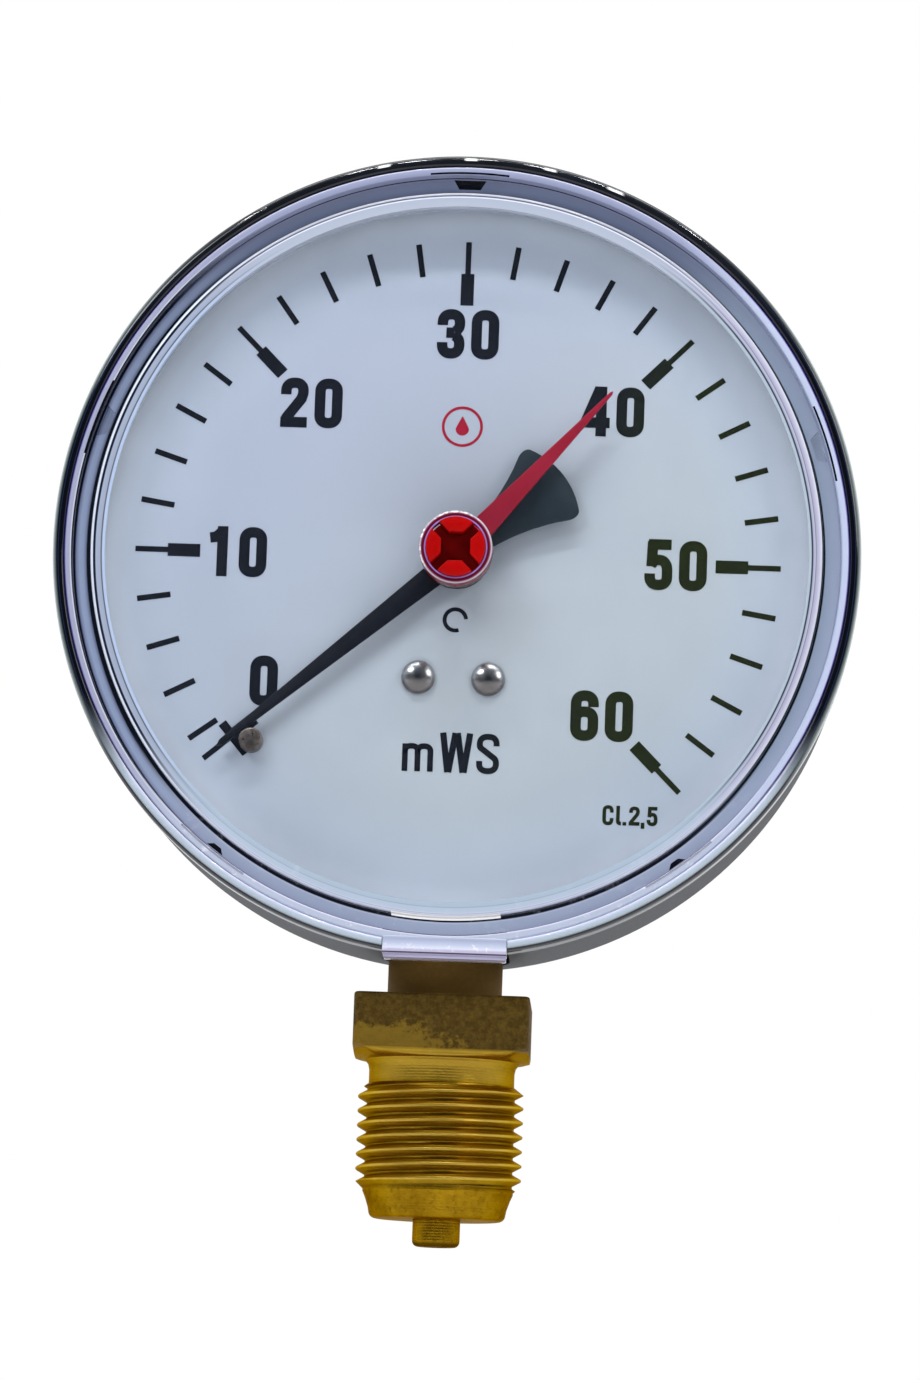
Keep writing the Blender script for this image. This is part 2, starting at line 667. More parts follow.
def make_lip_plastic():
    """The clear collar, which shows the red hand through its wall and bright rings in front."""
    finish, tree, shader = new_finish("moulded collar", 0.2, IOR=1.45, Specular_IOR_Level=0.2)
    radius, across, up, depth = from_axis(tree)
    rings = banded(tree, radius, 3.6, 4.8, [
        (3.74, (70, 14, 50)), (3.80, (160, 128, 214)), (3.92, (178, 150, 226)),
        (3.98, (96, 20, 60)), (4.06, (92, 12, 36)), (4.26, (116, 24, 52)),
        (4.36, (150, 110, 134)), (4.42, (204, 192, 206)), (4.54, (196, 186, 198)),
        (4.60, (120, 84, 100))])
    shine = noise(tree, 1500.0, 3.0)
    glints = times(tree, ramped(tree, shine, 0.5, 0.60),
                  ramped(tree, radius, 4.32, 4.40))
    glints = times(tree, glints, ramped(tree, sums(tree, "SUBTRACT", up, across), -1.0, 4.0))
    front = blend_colours(tree, glints, rings, (1.0, 1.0, 1.0, 1))
    wall = banded(tree, times(tree, depth, 1000.0), -22.2, -18.6, [
        (-22.05, (200, 186, 196)), (-21.90, (110, 16, 36)), (-21.40, (132, 14, 30)),
        (-19.90, (120, 8, 22)), (-19.40, (60, 8, 16)), (-19.00, (14, 10, 16))])
    colour = blend_colours(tree, ramped(tree, depth, -0.02196, -0.02188), front, wall)
    tree.links.new(colour, shader.inputs["Base Color"])
    let_light_through(tree, shader, 0.2)
    bump(tree, shader, shine, 0.008)
    return finish


def make_screw_steel():
    """Domed steel heads, bright towards the upper left and brownish below."""
    finish, tree, shader = new_finish("domed screw steel", 0.22, 1.0)
    _, across, up, _ = from_axis(tree)
    sideways = sums(tree, "SUBTRACT", size_of(tree, across), SCREW_X)
    height = sums(tree, "SUBTRACT", up, SCREW_Z - DIAL_Z)
    square = sums(tree, "ADD", times(tree, sideways, sideways),
                  times(tree, height, height))
    rings = banded(tree, sums(tree, "SQRT", square, 0.0), 0.0, 2.2, [
        (0.0, (84, 86, 88)), (0.5, (150, 152, 152)), (1.1, (172, 172, 172)),
        (1.75, (206, 206, 206)), (1.95, (150, 148, 146)), (2.05, (226, 226, 226)),
        (2.15, (120, 116, 112))])
    colour = blend_colours(tree, ramped(tree, height, -1.5, 0.9, 0.78, 0.0), rings,
                           (*tone(104, 92, 84), 1))
    scratches = noise(tree, 2200.0, 4.0)
    tree.links.new(colour, shader.inputs["Base Color"])
    bump(tree, shader, scratches, 0.02)
    return finish


def make_knob_plastic():
    """Red plastic, darker down inside the cross."""
    finish, tree, shader = new_finish("red knob plastic", 0.34, Specular_IOR_Level=0.1)
    _, _, _, depth = from_axis(tree)
    effect = placed(tree, MOTTLE, {"Colour": (0.40, 0.001, 0.001, 1),
                                   "Second colour": (0.46, 0.002, 0.002, 1), "Roughness": 0.34,
                                   "Spread": 0.06, "Patches per metre": 60.0, "Amount": 1.0})
    colour = blend_colours(tree, ramped(tree, depth, -0.0227, -0.0205), effect.outputs["Colour"],
                           (0.18, 0.0, 0.0, 1))
    edge = times(tree, ramped(tree, depth, -0.02318, -0.02312),
                ramped(tree, depth, -0.0229, -0.0226, 1.0, 0.0))
    colour = blend_colours(tree, times(tree, edge, 0.6), colour, (0.62, 0.012, 0.012, 1))
    tree.links.new(colour, shader.inputs["Base Color"])
    tree.links.new(effect.outputs["Roughness"], shader.inputs["Roughness"])
    bump(tree, shader, effect.outputs["Height"], 0.004)
    return finish


def make_black_print():
    """Black ink, blue on the left and faintly olive low on the right."""
    finish, tree, shader = new_finish("black dial print", 0.5, Specular_IOR_Level=0.12)
    _, across, up, _ = from_axis(tree)
    to_right = sums(tree, "SUBTRACT", across, times(tree, up, 0.3))
    colour = blend_colours(tree, ramped(tree, to_right, 9.0, 24.0),
                           (0.003, 0.005, 0.011, 1), (0.011, 0.017, 0.001, 1))
    effect = placed(tree, MOTTLE, {"Colour": colour, "Second colour": (0.012, 0.014, 0.018, 1),
                                   "Roughness": 0.5, "Spread": 0.06, "Patches per metre": 300.0,
                                   "Amount": 0.15})
    tree.links.new(effect.outputs["Colour"], shader.inputs["Base Color"])
    tree.links.new(effect.outputs["Roughness"], shader.inputs["Roughness"])
    bump(tree, shader, effect.outputs["Height"], 0.003)
    return finish


def make_socket_brass():
    """Machined brass, bright below and brown with tarnish on the square and the neck."""
    finish, tree, shader = new_finish("tarnished brass", 0.38, 1.0)
    shader.inputs["Specular Tint"].default_value = (0.60, 0.42, 0.06, 1)
    axes = put(tree, "ShaderNodeSeparateXYZ", {0: object_place(tree)})
    height = axes.outputs["Z"]
    cloud = noise(tree, 260.0, 6.0, 0.65)
    grain = noise(tree, 1500.0, 4.0, 0.7)
    marks = placed(tree, TOOL_MARKS, {"Lines per metre": 900.0, "Waver": 1.2})
    gold = blend_colours(tree, ramped(tree, cloud, 0.3, 0.7),
                         (0.25, 0.130, 0.004, 1), (0.42, 0.240, 0.009, 1))
    gold = blend_colours(tree, times(tree, ramped(tree, grain, 0.5, 0.72), 0.6),
                         gold, (0.13, 0.070, 0.003, 1))
    turned_radius = put(tree, "ShaderNodeVectorMath",
                        {0: put(tree, "ShaderNodeCombineXYZ", {0: axes.outputs["X"],
                                                               1: axes.outputs["Y"]}).outputs[0]},
                        operation="LENGTH").outputs["Value"]
    in_thread = times(tree, ramped(tree, height, 0.0034, 0.0040),
                     ramped(tree, height, 0.0164, 0.0172, 1.0, 0.0))
    rooted = times(tree, in_thread, ramped(tree, turned_radius, 0.00945, 0.01020, 0.50, 0.0))
    gold = blend_colours(tree, rooted, gold, (0.075, 0.036, 0.002, 1))
    crested = times(tree, in_thread, ramped(tree, turned_radius, 0.01030, 0.01044, 0.0, 0.7))
    gold = blend_colours(tree, crested, gold, (0.85, 0.62, 0.13, 1))
    brown = blend_colours(tree, ramped(tree, grain, 0.35, 0.7),
                          (0.068, 0.039, 0.009, 1), (0.140, 0.084, 0.019, 1))
    above = ramped(tree, height, 0.0206, 0.0210)
    patchy_height = ramped(tree, height, 0.0212, 0.0262, 0.20, -0.14)
    sideways = ramped(tree, axes.outputs["X"], -0.004, 0.006, 0.10, -0.16)
    mixture = sums(tree, "ADD", times(tree, cloud, 0.6),
                   times(tree, grain, 0.4))
    patch = ramped(tree, sums(tree, "ADD", sums(tree, "ADD", mixture, patchy_height), sideways),
                   0.60, 0.72)
    gold = blend_colours(tree, ramped(tree, height, 0.0036, 0.0044, 0.0, 0.30), gold,
                         (0.52, 0.33, 0.030, 1))
    gold = blend_colours(tree, ramped(tree, height, 0.0168, 0.0176, 0.0, 0.35), gold,
                         (0.56, 0.37, 0.060, 1))
    foot = ramped(tree, height, -0.0031, -0.0027, 0.8, 0.0)
    gold = blend_colours(tree, foot, gold, (0.05, 0.026, 0.002, 1))
    tarnish = times(tree, above,
                   sums(tree, "SUBTRACT", 1.0, times(tree, patch, 0.36)))
    brown = blend_colours(tree, ramped(tree, height, 0.0276, 0.0278, 0.0, 0.70), brown,
                          (0.24, 0.135, 0.036, 1))
    colour = blend_colours(tree, tarnish, gold, brown)
    tree.links.new(colour, shader.inputs["Base Color"])
    tree.links.new(ramped(tree, sums(tree, "ADD", tarnish, times(tree, grain, 0.3)),
                          0.0, 1.2, 0.34, 0.62), shader.inputs["Roughness"])
    tree.links.new(ramped(tree, tarnish, 0.0, 1.0, 1.0, 0.35), shader.inputs["Metallic"])
    relief = sums(tree, "ADD", times(tree, marks.outputs["Height"], 0.3), grain)
    bump(tree, shader, relief, 0.035)
    return finish


case_paint = make_case_paint()
clear_plastic = make_clear_plastic()
dial_enamel = make_dial_enamel()
socket_brass = make_socket_brass()
rim_plastic = make_rim_plastic()
tab_plastic = make_tab_plastic()
lip_plastic = make_lip_plastic()
MATT = {"Specular_IOR_Level": 0.12}
print_black = make_black_print()
screw_steel = make_screw_steel()
knob_red = make_knob_plastic()
print_red = mottled_finish("red dial print", (0.36, 0.006, 0.030), (0.44, 0.02, 0.05), 0.5, **MATT)
pointer_black = mottled_finish("black pointer paint", (0.004, 0.005, 0.009),
                               (0.008, 0.010, 0.016), 0.38, 0.08, **MATT)
tail_slate = mottled_finish("pointer tail paint", (0.016, 0.026, 0.034), (0.024, 0.037, 0.047),
                            0.42, 0.08, **MATT)
hand_red = mottled_finish("set hand paint", (0.30, 0.008, 0.026), (0.37, 0.016, 0.042), 0.42, 0.06,
                          **MATT)
pin_steel = mottled_finish("stop pin steel", (0.085, 0.070, 0.062), (0.22, 0.19, 0.17), 0.36, 0.1,
                           patches=900.0, metallic=0.8, bump_mm=0.02)
gasket_grey = mottled_finish("pale seal ring", (0.42, 0.44, 0.58), (0.48, 0.50, 0.64), 0.6)
bright_steel = mottled_finish("bright steel", (0.40, 0.40, 0.39), (0.50, 0.49, 0.47), 0.2, 0.08,
                              patches=400.0, metallic=1.0, bump_mm=0.01)
movement_brass = mottled_finish("movement brass", (0.62, 0.43, 0.15), (0.70, 0.50, 0.20), 0.3,
                                0.06, patches=200.0, metallic=1.0, bump_mm=0.006)
tube_bronze = mottled_finish("drawn bronze", (0.52, 0.30, 0.13), (0.60, 0.37, 0.17), 0.3, 0.08,
                             patches=120.0, metallic=1.0, bump_mm=0.006)

# ---- Case ----


def make_case():
    shell = bmesh.new()
    turned(shell, [
        (0, CASE_BACK), (CASE_RADIUS, CASE_BACK), (CASE_RADIUS, SEAT_BACK + 0.6),
        (RIM_RADIUS, SEAT_BACK), (RIM_RADIUS, RIM_FRONT), (RIM_INNER, RIM_FRONT),
        (RIM_INNER, SEAT_FRONT), (SEAT_INNER, SEAT_FRONT), (SEAT_INNER, SEAT_BACK),
        (CASE_RADIUS - CASE_WALL, SEAT_BACK), (CASE_RADIUS - CASE_WALL, CASE_BACK - CASE_WALL),
        (0, CASE_BACK - CASE_WALL)])
    soften(shell, 2.0, 6, ring_at(CASE_RADIUS, CASE_BACK))
    soften(shell, 0.85, 7, ring_at(RIM_RADIUS, RIM_FRONT))
    soften(shell, 0.3, 4, ring_at(RIM_INNER, RIM_FRONT))
    soften(shell, 0.3, 3, ring_at(RIM_RADIUS, SEAT_BACK))
    soften(shell, 0.25, 3, ring_at(CASE_RADIUS, SEAT_BACK + 0.6))
    low, high = DIAL_Z - RIM_RADIUS - 1, DIAL_Z - SEAT_INNER + 1
    notch = bmesh.new()
    block(notch, (TAB_SHIFT - TAB_HALF - TAB_GAP, RIM_FRONT - 1, low),
          (TAB_SHIFT + TAB_HALF + TAB_GAP, 0, high))
    shell = carved(shell, notch)
    round_notch = bmesh.new()
    turned_upright(round_notch, [(0, low), (SLOT_RADIUS, low), (SLOT_RADIUS, high), (0, high)])
    shell = carved(shell, round_notch)
    for side in (-1, 1):
        hole = bmesh.new()
        turned(hole, [(0, CASE_BACK + 1), (3.3, CASE_BACK + 1), (3.3, CASE_BACK - 0.1),
                      (1.8, CASE_BACK - 1.6), (0, CASE_BACK - 1.6)],
               side * BACK_SCREW_X, BACK_SCREW_Z, SMALL)
        shell = carved(shell, hole)
    add_piece("case_pressing", shell, "case", case_paint, ["case_shell"])

    for side, name in ((-1, "left"), (1, "right")):
        screw = bmesh.new()
        x = side * BACK_SCREW_X
        turned(screw, [(0, 11.4), (3.0, 11.4), (1.5, 9.9), (1.5, 3.9), (0, 3.9)], x, BACK_SCREW_Z,
               SMALL)
        soften(screw, 0.15, 2, ring_at(3.0, 11.4, x, BACK_SCREW_Z))
        slot = bmesh.new()
        made = block(slot, (x - 4, 10.6, BACK_SCREW_Z - 0.35), (x + 4, 12.4, BACK_SCREW_Z + 0.35))
        bmesh.ops.rotate(slot, cent=(x, 0, BACK_SCREW_Z), verts=made,
                         matrix=Matrix.Rotation(math.radians(24 * side), 3, "Y"))
        add_piece(f"back_screw_{name}", carved(screw, slot), "case", bright_steel,
                  [f"case_screw_{name}"])

    seal = bmesh.new()
    turned(seal, [(46.4, -15.16), (48.8, -15.16), (48.8, -14.94), (46.4, -14.94), (46.4, -15.16)])
    add_piece("seal_ring", seal, "case", gasket_grey)


# ---- Window ----


def barb_cuts(bm):
    """The long slits in the rim and the tapered holes beside the barbs."""
    for angle in BARB_ANGLES:
        slit = arc(48.46, 90 - 5.9, 90 + 5.9, 24) + arc(48.2, 90 + 5.9, 90 - 5.9, 24)
        made = plate(bm, slit, FLANGE_FRONT - 1, FLANGE_FRONT + 1.5)
        turn_to(bm, made, angle - 90)
        inner, half = (47.25, 0.55) if 180 < angle < 360 else (46.65, 1.35)
        made = plate(bm, [(-half, DIAL_Z + inner), (half, DIAL_Z + inner),
                          (half + 0.7, DIAL_Z + 47.85), (-half - 0.7, DIAL_Z + 47.85)],
                     FLANGE_FRONT - 1, FLANGE_BACK - 0.4)
        turn_to(bm, made, angle - 90)
    tidy(bm)


def make_window():
    pane = bmesh.new()
    turned(pane, [
        (WINDOW_BORE, WINDOW_BACK), (EDGE_BAND_INNER - 0.01, WINDOW_BACK),
        (EDGE_BAND_INNER - 0.01, WINDOW_FRONT), (WINDOW_BORE, WINDOW_FRONT),
        (WINDOW_BORE, WINDOW_BACK)])
    add_piece("clear_pane", pane, "case", clear_plastic, ["window"])

    collar = bmesh.new()
    turned(collar, [(COLLAR_INNER, WINDOW_FRONT - 0.01), (COLLAR_INNER, LIP_BACK),
                    (LIP_INNER, LIP_BACK), (LIP_INNER, COLLAR_FRONT), (COLLAR_OUTER, COLLAR_FRONT),
                    (COLLAR_OUTER, WINDOW_FRONT - 0.01), (COLLAR_INNER, WINDOW_FRONT - 0.01)])
    soften(collar, 0.12, 3, ring_at(COLLAR_OUTER, COLLAR_FRONT))
    soften(collar, 0.04, 2, ring_at(LIP_INNER, COLLAR_FRONT))
    add_piece("window_collar", collar, "case", lip_plastic)

    rim = bmesh.new()
    turned(rim, [
        (EDGE_BAND_INNER, WINDOW_BACK), (EDGE_BAND_INNER, WINDOW_FRONT),
        (PANE_RADIUS, WINDOW_FRONT), (PANE_RADIUS, GROOVE_FRONT), (GROOVE_OUTER, GROOVE_FRONT),
        (GROOVE_OUTER, FLANGE_FRONT), (FLANGE_RADIUS, FLANGE_FRONT), (FLANGE_RADIUS, FLANGE_BACK),
        (PANE_RADIUS, FLANGE_BACK), (PANE_RADIUS, SKIRT_BACK), (SKIRT_INNER, SKIRT_BACK),
        (SKIRT_INNER, WINDOW_BACK), (EDGE_BAND_INNER, WINDOW_BACK)])
    soften(rim, 0.4, 5, ring_at(PANE_RADIUS, WINDOW_FRONT))
    soften(rim, 0.2, 3, ring_at(FLANGE_RADIUS, FLANGE_FRONT))
    soften(rim, 0.12, 3, ring_at(GROOVE_OUTER, FLANGE_FRONT))
    cuts = bmesh.new()
    barb_cuts(cuts)
    rim = carved(rim, cuts)
    add_piece("window_rim", rim, "case", rim_plastic)

    left, right = TAB_SHIFT - TAB_HALF, TAB_SHIFT + TAB_HALF
    for name, low, high in (("upper", (left, FLANGE_FRONT - 0.06, DIAL_Z - RIM_RADIUS),
                             (right, FLANGE_BACK, DIAL_Z - 48.3)),
                            ("lower", (left + 0.1, -17.3, DIAL_Z - 51.0),
                             (right - 0.1, -14.0, DIAL_Z - 50.42))):
        tab = bmesh.new()
        block(tab, low, high)
        soften(tab, 0.18, 3)
        add_piece(f"window_tab_{name}", tab, "case", tab_plastic)


# ---- Dial ----


def tick(bm, angle, inner, outer, width):
    made = block(bm, (inner, PRINT_FRONT, DIAL_Z - width / 2),
                 (outer, PRINT_BACK, DIAL_Z + width / 2))
    turn_to(bm, made, angle)


def bow(x, z, wide, high, start, end):
    """Points along part of a slightly squared oval."""
    points = []
    for i in range(BOW_STEPS + 1):
        turn = math.radians(start + (end - start) * i / BOW_STEPS)
        across, along = math.cos(turn), math.sin(turn)
        points.append((x + wide * math.copysign(abs(across) ** SQUARED, across),
                       z + high * math.copysign(abs(along) ** SQUARED, along)))
    return points


def character(sign):
    """The strokes of a character in a box 3.5 wide and 6.4 high."""
    left, low, high = 0.67, 0.67, 5.73
    middle, round_ = 1.75, 1.08
    upper, lower = high - round_, low + round_
    if sign == "0":
        path = (bow(middle, upper, round_, round_, 0, 180) +
                bow(middle, lower, round_, round_, 180, 360))
        return [path + [path[0]]]
    if sign == "1":
        return [[(2.2, 0.0), (2.2, 6.4)], [(0.62, 4.9), (1.35, 5.0), (2.1, 5.7)]]
    if sign == "2":
        return [[(left, 4.2)] + bow(middle, upper, round_, round_, 180, -12) +
                [(2.62, 3.7), (0.85, 1.3), (0.66, 0.5)], [(0.05, low), (3.4, low)]]
    if sign == "3":
        return [[(left, 4.3)] + bow(middle, upper - 0.05, round_, round_ + 0.05, 180, -70),
                bow(middle, lower + 0.1, round_, round_ + 0.1, 75, -180) + [(left, 2.1)],
                [(1.15, 3.34), (2.2, 3.34)]]
    if sign == "4":
        return [[(2.4, 0.0), (2.4, 6.4)], [(2.2, 6.2), (0.5, 1.9)], [(0.0, 1.75), (3.5, 1.75)]]
    if sign == "5":
        return [[(0.45, 5.82), (3.3, 5.82)], [(0.98, 6.2), (0.88, 3.0)],
                [(0.75, 3.1)] + bow(middle, 2.4, round_, 1.45, 130, 0) +
                bow(middle, lower, round_, round_, 0, -180) + [(left, 2.1)]]
    if sign == "6":
        path = bow(middle, 2.6, round_, 1.1, 0, 180) + bow(middle, lower, round_, round_, 180, 360)
        return [path + [path[0]],
                [(2.83, 4.3)] + bow(middle, upper, round_, round_, 0, 180) + [(left, 2.2)]]
    if sign == "m":
        return [[(0.3, 0.0), (0.3, 4.45)],
                [(0.3, 3.2)] + bow(1.02, 3.2, 0.72, 0.9, 180, 0) + [(1.75, 0)],
                [(1.75, 3.2)] + bow(2.47, 3.2, 0.73, 0.9, 180, 0) + [(3.2, 0)]]
    if sign == "W":
        return [[(0.32, 6.4), (0.90, 0.0)], [(0.98, 0.0), (1.64, 6.4)], [(1.86, 6.4), (2.52, 0.0)],
                [(2.60, 0.0), (3.18, 6.4)]]
    if sign == "S":
        return [[(3.0, 4.45)] + bow(middle, 4.75, 1.25, 1.2, 0, 205) +
                bow(middle, 1.6, 1.25, 1.2, 40, -180) + [(0.5, 2.0)]]
    if sign == "C":
        return [[(2.9, 4.1)] + bow(middle, 4.6, 1.15, 1.3, 0, 180) +
                bow(middle, 1.8, 1.15, 1.3, 180, 360) + [(2.9, 2.3)]]
    if sign == "l":
        return [[(1.5, 6.4), (1.5, 1.4), (1.65, 0.85), (2.1, 0.6), (2.5, 0.6)]]
    return [[(1.75, 0.0 if sign == "." else -0.9), (1.75, 1.1)]]


def lettering(name, text, x, z, size, pitch, stroke, finish):
    """Upright characters of a given (width, height), centred on (x, z) from the dial's centre."""
    sheet = bmesh.new()
    wide, high = size[0] / 3.5, size[1] / 6.4
    places = [sum(pitch[:i + 1]) for i in range(len(text))]
    start = x - (places[-1] + size[0]) / 2
    for sign, place in zip(text, places):
        for layer, path in enumerate(character(sign)):
            points = [(start + place + u * wide, -STROKE_STEP * layer,
                       DIAL_Z + z - size[1] / 2 + v * high) for u, v in path]
            closed = len(path) > 2 and path[0] == path[-1]
            geom = wire(sheet, points[:-1] if closed else points)
            if closed:
                verts = [item for item in geom if isinstance(item, bmesh.types.BMVert)]
                geom.append(sheet.edges.new((verts[-1], verts[0])))
            edges = [item for item in geom if isinstance(item, bmesh.types.BMEdge)]
            raised = bmesh.ops.extrude_edge_only(sheet, edges=edges)["geom"]
            moved = [item for item in raised if isinstance(item, bmesh.types.BMVert)]
            bmesh.ops.translate(sheet, vec=(0, PRINT_THICKNESS, 0), verts=moved)
    solid = thickened(sheet, stroke)
    bmesh.ops.translate(solid, vec=(0, PRINT_FRONT - 0.001, 0), verts=solid.verts)
    add_piece(name, solid, "case", finish)


def make_dial():
    face = bmesh.new()
    turned(face, [(2.4, DIAL_FRONT), (DIAL_RADIUS, DIAL_FRONT), (DIAL_RADIUS, DIAL_BACK),
                  (2.4, DIAL_BACK), (2.4, DIAL_FRONT)])
    soften(face, 0.12, 2)
    add_piece("dial_face", face, "case", dial_enamel, ["dial"])

    scale = bmesh.new()
    for step in range(31):
        angle = 225 - 9 * step if step else ZERO_ANGLE
        if step == 0:
            tick(scale, angle, 32.5, 36.6, 1.65)
            tick(scale, angle, 36.4, 40.7, 0.7)
            made = block(scale, (-2.45, PRINT_FRONT - 0.003, DIAL_Z - 0.58),
                         (2.45, PRINT_BACK, DIAL_Z + 0.58))
            bmesh.ops.translate(scale, vec=(35.67, 0, 0), verts=made)
            bmesh.ops.rotate(scale, cent=(36.07, 0, DIAL_Z), verts=made,
                             matrix=Matrix.Rotation(math.radians(90), 3, "Y"))
            turn_to(scale, made, angle)
        elif step % 5 == 0:
            tick(scale, angle, 36.6, 40.7, 0.7)
            tick(scale, angle, 32.5, 36.6, 1.65)
        else:
            tick(scale, angle, 36.45, 40.7, 0.72)
    add_piece("scale_marks", scale, "case", print_black)

    for text, x, z in (("0", -23.8, -16.3), ("10", -28.0, 0.0), ("20", -19.2, 19.35),
                       ("30", 0.3, 28.8), ("40", 19.0, 19.4), ("50", 27.5, 0.0),
                       ("60", 18.8, -19.4)):
        lettering(f"number_{text}", text, x, z, (3.52, 6.4), (0, 4.33), 1.34, print_black)
    lettering("unit_mark_m", "m", -4.1, -24.62, (3.85, 5.0), (0,), 0.72, print_black)
    lettering("unit_mark_w", "W", 0.7, -24.62, (4.15, 5.0), (0,), 0.80, print_black)
    lettering("unit_mark_s", "S", 4.7, -24.62, (2.95, 5.0), (0,), 0.76, print_black)
    lettering("class_mark", "Cl.2,5", 22.75, -31.85, (1.42, 2.45),
              (0, 1.35, 0.73, 1.22, 1.06, 1.17), 0.46, print_black)

    ring = bmesh.new()
    geom = wire(ring, [(1.1, PRINT_FRONT, RING_Z),
                       (1.6, PRINT_FRONT, RING_Z),
                       (1.6, PRINT_BACK, RING_Z),
                       (1.1, PRINT_BACK, RING_Z)])
    bmesh.ops.spin(ring, geom=geom, cent=(0, 0, RING_Z), axis=(0, -1, 0), dvec=(0, 0, 0),
                   angle=math.radians(285), steps=40, use_merge=False)
    turn_to(ring, ring.verts[:], 5, 0, RING_Z)
    add_piece("ring_mark", ring, "case", print_black)

    hoop = bmesh.new()
    turned(hoop, [(2.25, PRINT_FRONT), (2.6, PRINT_FRONT),
                  (2.6, PRINT_BACK), (2.25, PRINT_BACK),
                  (2.25, PRINT_FRONT)], 0, DIAL_Z + 16.9, MEDIUM)
    add_piece("drop_ring_mark", hoop, "case", print_red)
    drop = bmesh.new()
    turned(drop, [(0, PRINT_FRONT), (0.85, PRINT_FRONT),
                  (0.85, PRINT_BACK), (0, PRINT_BACK)], 0, DROP_Z, SMALL)
    for vert in drop.verts:
        above = vert.co.z - (DROP_Z)
        if above > 0:
            vert.co.z += above * 0.9
            vert.co.x *= 1 - 0.75 * above / 0.85
    add_piece("drop_mark", drop, "case", print_red)

    for side, name in ((-1, "left"), (1, "right")):
        x = side * SCREW_X
        screw = bmesh.new()
        dome = [(2.15 * math.sin(math.radians(a)), -12.35 - 1.1 * math.cos(math.radians(a)))
                for a in range(0, 81, 8)]
        turned(screw, dome + [(2.15, -12.42), (2.15, -12.3), (0.8, -12.3), (0.8, -9.6), (0, -9.6)],
               x, SCREW_Z, SMALL)
        add_piece(f"domed_screw_{name}", screw, "case", screw_steel,
                  [f"dial_screw_{name}"])

    pin = bmesh.new()
    x, z = polar(34.7, 223.82)
    turned(pin, [(0, -14.65), (1.5, -14.65), (1.5, -12.35), (0.75, -12.35), (0.75, -11.1),
                 (0, -11.1)], x, z, SMALL)
    soften(pin, 0.25, 3, ring_at(1.5, -14.65, x, z))
    add_piece("pointer_stop", pin, "case", pin_steel, ["stop_pin"])


# ---- Socket ----


def make_thread():
    share = [(0.0, 0.0), (0.09, 0.03), (0.40, 0.92), (0.46, 1.0), (0.54, 1.0), (0.60, 0.92),
             (0.91, 0.03), (1.0, 0.0)]
    depth = THREAD_CREST - THREAD_ROOT
    low = THREAD_START - 1.65 * THREAD_PITCH
    thread = bmesh.new()
    steps = 128
    geom = wire(thread, [(THREAD_ROOT + depth * rise, 0, low + THREAD_PITCH * along)
                         for along, rise in share])
    turns = 11
    bmesh.ops.spin(thread, geom=geom, cent=(0, 0, 0), axis=(0, 0, 1),
                   dvec=(0, 0, THREAD_PITCH / steps), angle=2 * math.pi * turns,
                   steps=steps * turns, use_merge=False)
    bmesh.ops.remove_doubles(thread, verts=thread.verts, dist=0.002)
    for height, normal in ((THREAD_START - 0.3, (0, 0, -1)), (THREAD_END + 0.3, (0, 0, 1))):
        bmesh.ops.bisect_plane(thread, geom=thread.verts[:] + thread.edges[:] + thread.faces[:],
                               plane_co=(0, 0, height), plane_no=normal, clear_outer=True)
        rim = [edge for edge in thread.edges if edge.is_boundary
               and all(abs(v.co.z - height) < 0.001 for v in edge.verts)]
        bmesh.ops.contextual_create(thread, geom=rim)
    tidy(thread)
    limit = bmesh.new()
    turned_upright(limit, [
        (0, THREAD_START - 0.05), (9.48, THREAD_START - 0.05),
        (THREAD_CREST + 0.2, THREAD_START + 1.1),
        (THREAD_CREST + 0.2, THREAD_END - 1.0), (RELIEF_RADIUS + 0.1, THREAD_END + 0.05),
        (0, THREAD_END + 0.05)])
    return carved(thread, limit, "INTERSECT")


def add_shape(bm, other):
    """Puts a copy of a finished shape into bm."""
    mesh = bpy.data.meshes.new("shape")
    other.to_mesh(mesh)
    other.free()
    bm.from_mesh(mesh)
    bpy.data.meshes.remove(mesh)


